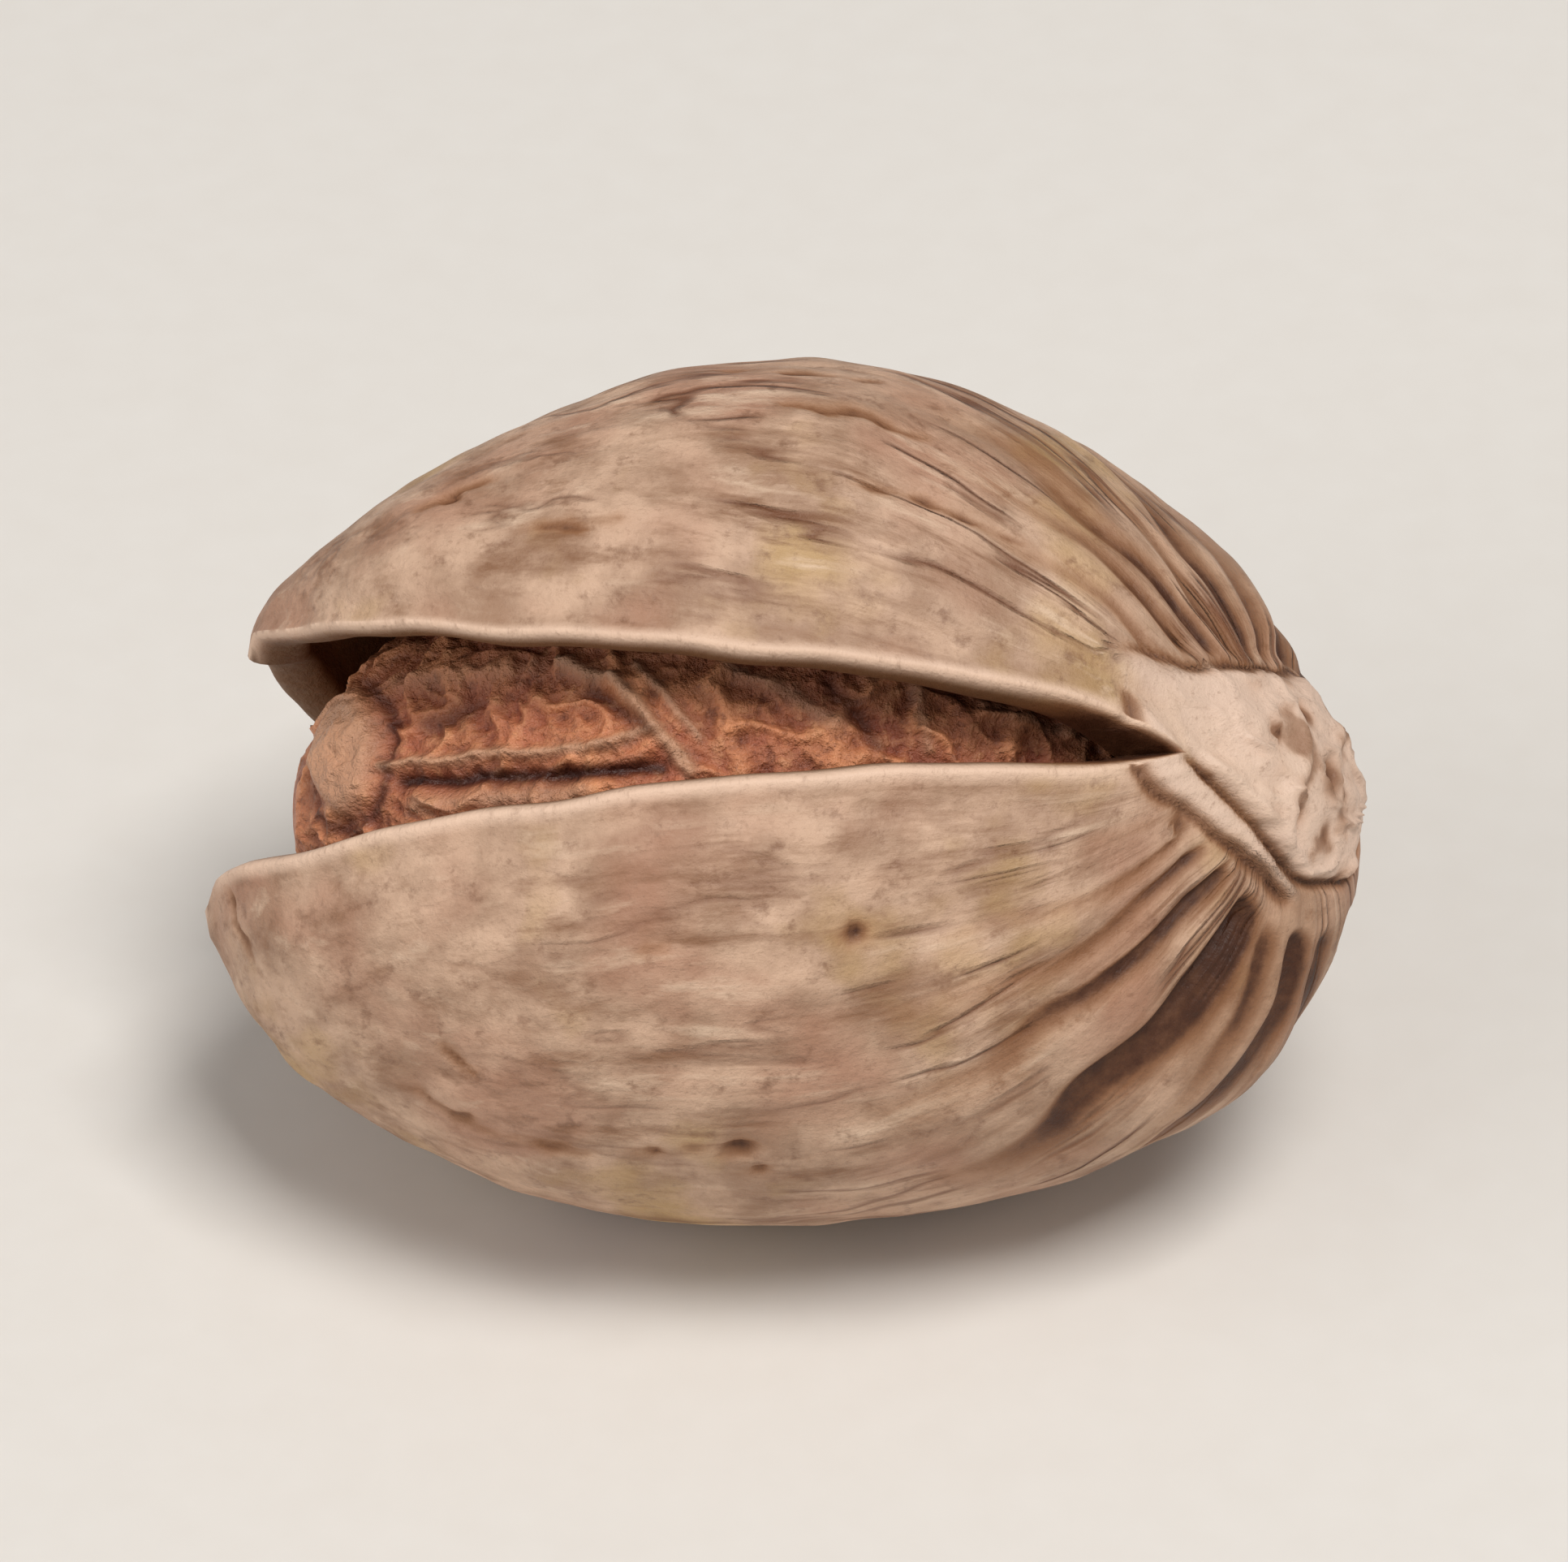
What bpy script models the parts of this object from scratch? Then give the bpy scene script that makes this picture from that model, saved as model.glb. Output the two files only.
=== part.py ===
"""A pistachio in its split shell, at life size, lying on its side.

The shell is one piece. Its two valves grew together at the stem end and along the back seam, and they
have split apart along the front seam and round the tip. The kernel lies loose inside.

A point of the nut is first placed in the nut's own directions: along, from the tips to the stem; across,
from the lower valve to the upper one; and front, from the back seam to the split. The nut is then rolled
to the way it lies.
"""

import math

import bmesh
import bpy
from mathutils import Vector

# Sizes, in metres.
SHELL_LENGTH = 0.0200
FRONT_DEPTH = 0.0066  # nut's axis to the split seam
BACK_DEPTH = 0.0072  # nut's axis to the back seam
UPPER_VALVE_DEPTH = 0.0068  # split plane to the valve's belly
LOWER_VALVE_DEPTH = 0.0077
WALL = 0.0009
STEM_WALL = 0.0016
TIP_WALL = 0.0010
TIP_GAPE = 0.0041  # opening between the two valve tips
STEM_LEAN = 0.0008  # how far the stem end leans towards the split
STEM_DROOP = 0.0009  # how far the stem end bends towards the lower valve
UPPER_TIP_SHORTER = 0.0007
SCAR_RADIUS = 0.0020  # the pale cap where the stem broke off
SCAR_LIFT = 0.0003
FLAT_SPOT_DEPTH = 0.00028  # planed off the belly by the flat spot

KERNEL_LENGTH = 0.0164
KERNEL_FRONT_DEPTH = 0.0052
KERNEL_BACK_DEPTH = 0.0051
KERNEL_HALF_THICKNESS = 0.0051
KERNEL_GROOVE = 0.0005  # depth of the groove between its two seed leaves
KERNEL_WRINKLE = 0.00012
KERNEL_MIDDLE = (-0.0004, -0.0007, -0.0003)  # it has settled towards the floor

# Where the seams open, as shares of the length counted from the stem.
SPLIT_START = 0.16
BACK_SPLIT_START = 0.80

# How the gape grows along the split, as shares of the gape at the tip: at once where the split starts,
# evenly on from there, and faster towards the tip.
GAPE_FLARE, GAPE_SLOPE, GAPE_CURVE = 0.20, 0.50, 0.30
FLARE_RUN = 0.07

# How each outline swells against a plain ellipse: towards the stem, towards both ends, and at the
# stem end alone as against the tip.
UPPER_SWELL = (0.12, -0.28, 0.05)
LOWER_SWELL = (0.03, 0.08, 0.05)
SEAM_SWELL = (-0.05, -0.12, 0.00)
KERNEL_SWELL = (-0.02, -0.12, 0.00)

# How far the split faces above the horizon, once the nut lies on its flat spot.
SPLIT_ELEVATION = math.radians(48)

# Mesh counts: rows run from the stem to the tip, columns from the split to the back seam.
SHELL_ROWS = 34
VALVE_COLUMNS = 18
KERNEL_ROWS = 24
KERNEL_HALF_COLUMNS = 14

WELD_DISTANCE = 1e-6

UPPER, LOWER = 1, -1
VALVE_DEPTH = {UPPER: UPPER_VALVE_DEPTH, LOWER: LOWER_VALVE_DEPTH}
VALVE_SWELL = {UPPER: UPPER_SWELL, LOWER: LOWER_SWELL}
SCAR_MIDDLE = Vector((0.0085, -0.0006, 0.0036))


def smooth(value):
    """An S-shaped rise from 0 at 0 to 1 at 1."""
    value = min(max(value, 0.0), 1.0)
    return value * value * (3 - 2 * value)


def outline(share, swell):
    """The half-width at a share of the length, as a fraction of the half-width at mid-length."""
    end = 1 - 2 * share
    ellipse = 2 * math.sqrt(share * (1 - share))
    return ellipse * (1 + swell[0] * end + swell[1] * end**2 + swell[2] * end**3)


def row_shares(rows):
    """Shares of the length for the mesh rows, closer together towards both ends."""
    return [(1 - math.cos(math.pi * row / rows)) / 2 for row in range(rows + 1)]


def bend(share):
    """How far the nut's middle line has bent towards the stem's side: across and to the front."""
    run = max(1 - share / 0.5, 0.0)
    return -STEM_DROOP * run**2, STEM_LEAN * smooth(run)


def half_gape(share, turn):
    """How far a valve has moved from the split plane, turned 0 at the split and pi at the back seam."""
    run = max((share - SPLIT_START) / (1 - SPLIT_START), 0.0)
    tip_run = max((share - BACK_SPLIT_START) / (1 - BACK_SPLIT_START), 0.0)
    near_split = math.exp(-((turn / 0.9) ** 2))
    flare = (1 - math.exp(-run / FLARE_RUN)) * near_split + (1 - near_split) * tip_run**2
    hinge = (1 + math.cos(turn)) / 2
    hinge += (1 - hinge) * tip_run**1.5
    swing = GAPE_SLOPE * run + GAPE_CURVE * run**2
    return TIP_GAPE / 2 * (GAPE_FLARE * flare + swing * hinge)


def shell_point(share, turn, valve, inner):
    """A point of a valve's outer or inner face, in the nut's own directions."""
    wall, stem_wall, tip_wall = (WALL, STEM_WALL, TIP_WALL) if inner else (0.0, 0.0, 0.0)
    depth = (FRONT_DEPTH if math.cos(turn) > 0 else BACK_DEPTH) - wall
    along = SHELL_LENGTH / 2 - stem_wall - share * (SHELL_LENGTH - stem_wall - tip_wall)
    if valve == UPPER:
        along += UPPER_TIP_SHORTER * smooth((share - BACK_SPLIT_START) / (1 - BACK_SPLIT_START))
    across = (VALVE_DEPTH[valve] - wall) * outline(share, VALVE_SWELL[valve]) * math.sin(turn)
    across += half_gape(share, turn)
    front = depth * outline(share, SEAM_SWELL) * math.cos(turn)
    point = Vector((along, valve * across, front)) + Vector((0.0, *bend(share)))
    if not inner:
        rise = smooth(2 * (1 - (point - SCAR_MIDDLE).length / SCAR_RADIUS))
        point += SCAR_MIDDLE.normalized() * SCAR_LIFT * rise
    return point


def kernel_point(share, turn):
    """A point of the kernel's skin, turned 0 at the split, in the nut's own directions."""
    width = outline(share, KERNEL_SWELL)
    depth = KERNEL_FRONT_DEPTH if math.cos(turn) > 0 else KERNEL_BACK_DEPTH
    groove = KERNEL_GROOVE * math.exp(-((math.sin(turn) / 0.22) ** 2))
    wrinkle = KERNEL_WRINKLE * math.sin(7 * turn + 9 * share) * math.sin(11 * share + 2 * turn)
    inset = (groove - wrinkle) * width
    along = (0.5 - share) * KERNEL_LENGTH
    across = (KERNEL_HALF_THICKNESS * width - inset) * math.sin(turn)
    front = (depth * width - inset) * math.cos(turn)
    return Vector((along, across, front)) + Vector((0.0, *bend(share))) + Vector(KERNEL_MIDDLE)


def laid(point):
    """A point in the nut's own directions, turned to the way the nut lies."""
    along, across, front = point
    lean = math.sin(SPLIT_ELEVATION)
    rise = math.cos(SPLIT_ELEVATION)
    return Vector((along, across * lean - front * rise, across * rise + front * lean))


def add_sheet(mesh, grid):
    """Faces between the neighbouring points of a grid."""
    verts = [[mesh.verts.new(point) for point in row] for row in grid]
    for row, next_row in zip(verts, verts[1:]):
        for column in range(len(row) - 1):
            mesh.faces.new((row[column], next_row[column], next_row[column + 1], row[column + 1]))
    return verts


def add_rim(mesh, outer, inner, column, opened):
    """The valve's broken edge between its outer and inner faces, wherever the seam is open."""
    for row in range(len(outer) - 1):
        if opened[row + 1]:
            mesh.faces.new(
                (outer[row][column], outer[row + 1][column], inner[row + 1][column], inner[row][column])
            )


def shell_mesh():
    mesh = bmesh.new()
    shares = row_shares(SHELL_ROWS)
    turns = [math.pi * column / VALVE_COLUMNS for column in range(VALVE_COLUMNS + 1)]
    split_open = [share > SPLIT_START for share in shares]
    back_open = [share > BACK_SPLIT_START for share in shares]
    for valve in (UPPER, LOWER):
        sheets = []
        for inner in (False, True):
            grid = [[laid(shell_point(s, t, valve, inner)) for t in turns] for s in shares]
            sheets.append(add_sheet(mesh, grid))
        add_rim(mesh, *sheets, 0, split_open)
        add_rim(mesh, *sheets, VALVE_COLUMNS, back_open)
    return mesh


def kernel_mesh():
    mesh = bmesh.new()
    turns = [math.pi * column / KERNEL_HALF_COLUMNS for column in range(2 * KERNEL_HALF_COLUMNS + 1)]
    grid = [[laid(kernel_point(s, t)) for t in turns] for s in row_shares(KERNEL_ROWS)]
    add_sheet(mesh, grid)
    return mesh


def close_up(mesh):
    """Weld the points that grew together and turn every face outwards."""
    bmesh.ops.remove_doubles(mesh, verts=mesh.verts, dist=WELD_DISTANCE)
    bmesh.ops.recalc_face_normals(mesh, faces=mesh.faces)


def cut_flat_spot(mesh):
    """Plane off the lowest part of the belly, so that the nut lies still."""
    height = min(vert.co.z for vert in mesh.verts) + FLAT_SPOT_DEPTH
    cut = bmesh.ops.bisect_plane(
        mesh,
        geom=mesh.verts[:] + mesh.edges[:] + mesh.faces[:],
        dist=WELD_DISTANCE,
        plane_co=(0, 0, height),
        plane_no=(0, 0, 1),
        clear_inner=True,
    )
    rim = [item for item in cut["geom_cut"] if isinstance(item, bmesh.types.BMEdge)]
    for edge in rim:
        for vert in edge.verts:
            vert.co.z = height
    bmesh.ops.contextual_create(mesh, geom=rim)
    bmesh.ops.recalc_face_normals(mesh, faces=mesh.faces)


def material(name, colour, roughness):
    made = bpy.data.materials.new(name)
    made.use_nodes = True
    shader = made.node_tree.nodes["Principled BSDF"]
    shader.inputs["Base Color"].default_value = (*colour, 1.0)
    shader.inputs["Roughness"].default_value = roughness
    shader.inputs["Metallic"].default_value = 0.0
    return made


def add_part(name, mesh, made_of):
    data = bpy.data.meshes.new(name)
    mesh.to_mesh(data)
    mesh.free()
    data.materials.append(made_of)
    data.shade_smooth()
    data.set_sharp_from_angle(angle=math.radians(40))
    part = bpy.data.objects.new(name, data)
    bpy.context.scene.collection.objects.link(part)


def main():
    for old in list(bpy.data.objects):
        bpy.data.objects.remove(old, do_unlink=True)

    shell = shell_mesh()
    close_up(shell)
    cut_flat_spot(shell)
    kernel = kernel_mesh()
    close_up(kernel)

    # The origin goes under the middle of the shell, level with the flat spot.
    lowest, highest = [
        [pick(vert.co[axis] for vert in shell.verts) for axis in range(3)] for pick in (min, max)
    ]
    origin = Vector(((lowest[0] + highest[0]) / 2, (lowest[1] + highest[1]) / 2, lowest[2]))
    for mesh in (shell, kernel):
        bmesh.ops.translate(mesh, vec=-origin, verts=mesh.verts)

    add_part("shell", shell, material("shell_wall", (0.56, 0.37, 0.23), 0.6))
    add_part("kernel", kernel, material("kernel_skin", (0.22, 0.07, 0.035), 0.55))


main()
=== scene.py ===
"""The looks of a pistachio lying in its split shell: shapes, finishes, light and camera.

Points of the nut are worked out in millimetres in the nut's own directions: along, from the tips to the
stem; across, from the lower valve to the upper one; and front, from the back seam to the split. They are
then rolled to the way the nut lies and set down where the frame has it.
"""

import math

import bmesh
import bpy
import numpy as np
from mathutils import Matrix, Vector, noise


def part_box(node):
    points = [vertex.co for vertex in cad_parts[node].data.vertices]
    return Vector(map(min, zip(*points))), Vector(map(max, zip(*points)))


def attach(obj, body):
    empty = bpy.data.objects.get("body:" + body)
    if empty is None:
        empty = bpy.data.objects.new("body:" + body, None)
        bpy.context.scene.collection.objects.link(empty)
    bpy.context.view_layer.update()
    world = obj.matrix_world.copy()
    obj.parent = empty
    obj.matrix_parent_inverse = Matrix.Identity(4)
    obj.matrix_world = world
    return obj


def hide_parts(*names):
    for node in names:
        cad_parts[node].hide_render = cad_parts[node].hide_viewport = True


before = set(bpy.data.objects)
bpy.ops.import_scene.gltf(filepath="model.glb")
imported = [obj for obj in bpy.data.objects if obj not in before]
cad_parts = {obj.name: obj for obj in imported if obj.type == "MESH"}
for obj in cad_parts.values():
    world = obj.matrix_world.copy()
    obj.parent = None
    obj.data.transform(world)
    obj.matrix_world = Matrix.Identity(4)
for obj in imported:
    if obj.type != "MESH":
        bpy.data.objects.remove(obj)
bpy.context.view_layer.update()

MM = 0.001
UPPER, LOWER = 1, -1

# The nut's sizes in millimetres, as the frame's solids have them.
SHELL_LENGTH = 20.0
FRONT_DEPTH, BACK_DEPTH = 6.6, 7.2
VALVE_DEPTH = {UPPER: 6.8, LOWER: 7.7}
VALVE_SWELL = {UPPER: (0.12, -0.28, 0.05), LOWER: (0.03, 0.08, 0.05)}
SEAM_SWELL = (-0.05, -0.12, 0.00)
WALL, STEM_WALL, TIP_WALL = 0.9, 1.6, 1.0
TIP_GAPE = 4.1
GAPE_FLARE, GAPE_SLOPE, GAPE_CURVE = 0.20, 0.50, 0.30
STEM_LEAN, STEM_DROOP = 0.8, 0.9
UPPER_TIP_SHORTER = 0.7
SPLIT_START, BACK_SPLIT_START = 0.16, 0.80
SPLIT_ELEVATION = math.radians(48)
FLAT_SPOT_DEPTH = 0.28

KERNEL_LENGTH = 16.4
KERNEL_FRONT_DEPTH, KERNEL_BACK_DEPTH, KERNEL_HALF_THICKNESS = 5.2, 5.1, 5.1
KERNEL_SWELL = (-0.02, -0.12, 0.00)
KERNEL_MIDDLE = (-0.4, -0.7, -0.3)

# How fast the gape opens where the split starts, as a share of the run, and how far round it reaches.
FLARE_RUN = 0.07
FLARE_TURN = 0.9

# Mesh counts: rows run from the stem to the tip, columns from the split to the back seam.
SHELL_ROWS = 210
VALVE_COLUMNS = 176
LINING_COLUMNS = 30
RIM_COLUMNS = 11
KERNEL_ROWS = 300
KERNEL_COLUMNS = 310


# ---- Shape of the shell ----


def ease(value):
    """An S-shaped rise from 0 at 0 to 1 at 1."""
    value = np.clip(value, 0.0, 1.0)
    return value * value * (3 - 2 * value)


def hump(value):
    """A smooth bell, 1 at 0 and next to nothing beyond 2."""
    return np.exp(-(value**2))


def hills(points, size, detail=2, seed=0):
    """Random soft hills about size mm across, from about -1 to 1, at each point."""
    shift = Vector((17.3 * seed, 5.1 * seed, 9.7 * seed))
    flat = (points / size).reshape(-1, 3).tolist()
    heights = [noise.fractal(Vector(point) + shift, 1.0, 2.0, detail) for point in flat]
    return np.array(heights).reshape(points.shape[:-1])


def creases(points, size, width, seed):
    """1 along wandering lines about size mm apart, falling off to 0 over a share of their spacing."""
    return hump(hills(points, size, 2, seed) / width)


def row_shares(rows):
    """Shares of the length for the mesh rows, in a column, closer together towards both ends."""
    even = np.linspace(0, 1, rows + 1)
    return (0.5 * even + 0.5 * (1 - np.cos(np.pi * even)) / 2)[:, None]


def outline(share, swell):
    """The half-width at a share of the length, as a fraction of the half-width at mid-length."""
    end = 1 - 2 * share
    ellipse = 2 * np.sqrt(np.clip(share * (1 - share), 0, None))
    return ellipse * (1 + swell[0] * end + swell[1] * end**2 + swell[2] * end**3)


def bend(share):
    """How far the nut's middle line has bent on the stem's side, as an offset across and to the front."""
    run = np.clip(1 - share / 0.5, 0, None)
    return -STEM_DROOP * run**2, STEM_LEAN * ease(run)


def half_gape(share, turn):
    """How far a valve has moved from the split plane, turned 0 at the split and pi at the back seam."""
    run = np.clip((share - SPLIT_START) / (1 - SPLIT_START), 0, None)
    tip_run = np.clip((share - BACK_SPLIT_START) / (1 - BACK_SPLIT_START), 0, None)
    near_split = hump(turn / FLARE_TURN)
    flare = (1 - np.exp(-run / FLARE_RUN)) * near_split + (1 - near_split) * tip_run**2
    hinge = (1 + np.cos(turn)) / 2
    hinge = hinge + (1 - hinge) * tip_run**1.5
    swing = GAPE_SLOPE * run + GAPE_CURVE * run**2
    return TIP_GAPE / 2 * (GAPE_FLARE * flare + swing * hinge)


def closed_face(share, turn, valve, inner=False):
    """A valve's outer or inner face before it split open, as a grid of points."""
    wall, stem_wall, tip_wall = (WALL, STEM_WALL, TIP_WALL) if inner else (0, 0, 0)
    if inner:
        # The wall thins towards the tips.
        wall = wall * (1 - 0.4 * ease((share - 0.7) / 0.3))
    depth = np.where(np.cos(turn) > 0, FRONT_DEPTH, BACK_DEPTH) - wall
    along = SHELL_LENGTH / 2 - stem_wall - share * (SHELL_LENGTH - stem_wall - tip_wall) + 0 * turn
    if valve == UPPER:
        along = along + UPPER_TIP_SHORTER * ease((share - BACK_SPLIT_START) / (1 - BACK_SPLIT_START))
    across_bend, front_bend = bend(share)
    across = (VALVE_DEPTH[valve] - wall) * outline(share, VALVE_SWELL[valve]) * np.sin(turn)
    front = depth * outline(share, SEAM_SWELL) * np.cos(turn)
    return np.stack((along, valve * across + across_bend, front + front_bend), axis=-1)


# How much less the nut's outside turns along it than round it, as its width over its length, squared.
LENGTH_WEIGHT = 0.49


def outward(points):
    """The direction straight out of the nut at each point."""
    away = points * (LENGTH_WEIGHT, 1.0, 1.0)
    return away / np.linalg.norm(away, axis=-1, keepdims=True)


# The scar where the stem broke off is a papery cap with straight, ragged sides. Each side is the direction
# that it faces, in degrees from the split towards the upper valve, and its distance from the scar's middle.
SCAR_MIDDLE = np.array((8.5, -0.6, 3.6))
SCAR_LEAN = math.atan2(SCAR_MIDDLE[2], SCAR_MIDDLE[0])
SCAR_SIDES = ((84, 1.85), (0, 2.05), (-50, 1.15), (-100, 1.90), (-148, 2.60), (151, 2.55))
SCAR_DEPTH = 7.0  # how far out along the scar's own direction the cap begins
SCAR_SHARPNESS = 6.0  # of the cap's corners, higher for sharper ones
SCAR_REACH = 2.0  # the cap's middle to its sides, near enough
COLLAR_SIDE = 2  # the side with the collar, counted from 0


def scar_view(points):
    """Each point as seen square on to the scar: towards the split, towards the upper valve, and outwards."""
    lean, rise = math.sin(SCAR_LEAN), math.cos(SCAR_LEAN)
    away = points - SCAR_MIDDLE
    towards_split = away[..., 2] * rise - away[..., 0] * lean
    out = points[..., 0] * rise + points[..., 2] * lean
    return towards_split, away[..., 1], out


def scar_edge(points):
    """How far inside the scar's ragged edge each point is, and how far inside its side with the collar."""
    towards_split, sideways, out = scar_view(points)
    sides = [out - SCAR_DEPTH]
    for degrees, reach in SCAR_SIDES:
        angle = math.radians(degrees)
        sides.append(reach - towards_split * math.cos(angle) - sideways * math.sin(angle))
    inside = -np.log(sum(np.exp(-SCAR_SHARPNESS * side) for side in sides)) / SCAR_SHARPNESS
    collar_inside = sides[1 + COLLAR_SIDE]
    ragged = hills(points, 0.7, 3, 5) * (0.10 - 0.08 * hump(collar_inside / 0.9))
    return inside + ragged, collar_inside + ragged


def rib_angle(points):
    """The angle from the split at which a rib runs, as it leaves the scar and then follows the nut."""
    share = ease((points[..., 0] + 3) / 10)
    lean = SCAR_LEAN * share
    rise = points[..., 2] * np.cos(lean) - points[..., 0] * np.sin(lean)
    return np.arctan2(points[..., 1] - SCAR_MIDDLE[1] * share, rise)


# Furrows that fan out from the scar: degrees from the split, depth, width and reach in millimetres.
FURROWS = {
    LOWER: (
        (20, 0.05, 0.18, 3.0),
        (32, 0.12, 0.22, 5.5),
        (43, 0.17, 0.24, 6.5),
        (57, 0.27, 0.28, 7.5),
        (77, 0.54, 0.46, 7.5),
        (93, 0.16, 0.24, 6.0),
        (106, 0.34, 0.34, 7.0),
        (124, 0.20, 0.30, 7.0),
        (143, 0.26, 0.34, 5.5),
        (163, 0.16, 0.30, 6.0),
    ),
    UPPER: (
        (20, 0.05, 0.20, 4.0),
        (36, 0.12, 0.22, 6.5),
        (49, 0.17, 0.26, 6.5),
        (62, 0.20, 0.26, 7.5),
        (74, 0.14, 0.22, 6.0),
        (88, 0.20, 0.30, 8.0),
        (104, 0.14, 0.26, 6.0),
        (122, 0.22, 0.32, 7.0),
        (141, 0.14, 0.26, 7.0),
        (161, 0.12, 0.30, 5.0),
    ),
}

# How far outside the scar the furrows begin, past the lower valve's collar, and how far they wander.
FURROW_START = {UPPER: 0.0, LOWER: 0.70}
FURROW_WANDER = math.radians(5)

# Pits and short cracks: share of the length and degrees from the split, then radius or width, and depth.
PITS = {
    LOWER: ((0.44, 22, 0.20, 0.16), (0.54, 58, 0.24, 0.18), (0.52, 63, 0.11, 0.08), (0.35, 140, 0.16, 0.10)),
    UPPER: ((0.786, 38, 0.20, 0.14), (0.62, 96, 0.18, 0.12), (0.40, 128, 0.22, 0.14)),
}
CRACKS = {
    LOWER: (
        ((0.81, 57), (0.67, 62), 0.13, 0.10),
        ((0.64, 60), (0.56, 58), 0.12, 0.07),
        ((0.79, 42), (0.765, 45), 0.12, 0.08),
        ((0.62, 24), (0.60, 22), 0.13, 0.07),
        ((0.50, 118), (0.36, 112), 0.12, 0.09),
        ((0.976, 12), (0.962, 34), 0.13, 0.12),
    ),
    UPPER: (
        ((0.81, 37), (0.75, 41), 0.14, 0.10),
        ((0.72, 24), (0.64, 21), 0.13, 0.07),
        ((0.50, 47), (0.38, 44), 0.13, 0.10),
        ((0.55, 62), (0.42, 58), 0.12, 0.08),
        ((0.44, 30), (0.30, 27), 0.12, 0.09),
        ((0.60, 118), (0.45, 124), 0.12, 0.09),
    ),
}

# Each tip's nib: how it is drawn out along, across and to the front, and from how far round it.
NIB = {UPPER: np.array((-0.05, -0.12, 0.20)), LOWER: np.array((-0.08, -0.50, 0.10))}
NIB_REACH = {UPPER: 1.0, LOWER: 1.3}

LIP_SWELL = 0.20  # how far the rounded edge of a fully open seam stands out


def furrow_depth(points, valve, outside):
    """How deep the furrows from the scar are at each point."""
    angle = np.abs(rib_angle(points))
    radius = np.maximum(np.linalg.norm(points[..., 1:], axis=-1), 1.0)
    reach = np.linalg.norm(points - SCAR_MIDDLE, axis=-1) - SCAR_REACH
    depth = np.zeros(angle.shape)
    for number, (degrees, deepest, width, length) in enumerate(FURROWS[valve]):
        track = np.stack((reach, 0 * reach + 7.1 * number, 0 * reach + valve), axis=-1)
        wander = FURROW_WANDER * hills(track, 2.6, 2, 3) * ease(reach / 2)
        apart = (angle - math.radians(degrees) - wander) * radius
        spread = width * (1 + 0.08 * np.clip(reach, 0, 8)) * (1 + 0.35 * np.tanh(apart / 0.3))
        fade = ease((outside - FURROW_START[valve]) / 0.5) * np.clip(1 - reach / length, 0, 1) ** 1.2
        depth = depth + deepest * fade * hump(apart / spread)
    return depth


def on_face(place, valve):
    """The point of the closed outer face at a share of the length and degrees from the split."""
    return closed_face(np.array(place[0]), np.array(math.radians(place[1])), valve)


def marks(points, valve):
    """The depth of the outer face's pits and short cracks, and where they are."""
    depth = np.zeros(points.shape[:-1])
    where = np.zeros(points.shape[:-1])
    ragged = 1 + 0.35 * hills(points, 0.35, 2, 7)
    for share, degrees, radius, deepest in PITS[valve]:
        away = (points - on_face((share, degrees), valve)) * (0.7, 1, 1)
        pit = hump(np.linalg.norm(away, axis=-1) / (radius * ragged))
        depth = depth + deepest * pit
        where = np.maximum(where, pit)
    wander = np.stack([0 * ragged] + [0.22 * hills(points, 0.8, 2, seed) for seed in (16, 17)], axis=-1)
    for start, end, width, deepest in CRACKS[valve]:
        start, end = on_face(start, valve), on_face(end, valve)
        run = end - start
        part = np.clip((points - start) @ run / (run @ run), 0, 1)
        away = np.linalg.norm(points + wander - start - part[..., None] * run, axis=-1)
        crack = hump(away / (width * ragged)) * (0.5 + 2 * part * (1 - part))
        depth = depth + deepest * crack
        where = np.maximum(where, crack)
    return depth, np.clip(where, 0, 1)


# Dents in the scar and its collar: how far towards the split and towards the upper valve, and radius.
DENTS = (
    (-0.95, 0.05, 0.26),
    (-0.60, 1.10, 0.15),
    (1.95, -1.02, 0.20),
    (-0.90, -0.95, 0.17),
    (0.25, 0.70, 0.13),
    (-0.10, -0.60, 0.15),
)


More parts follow.
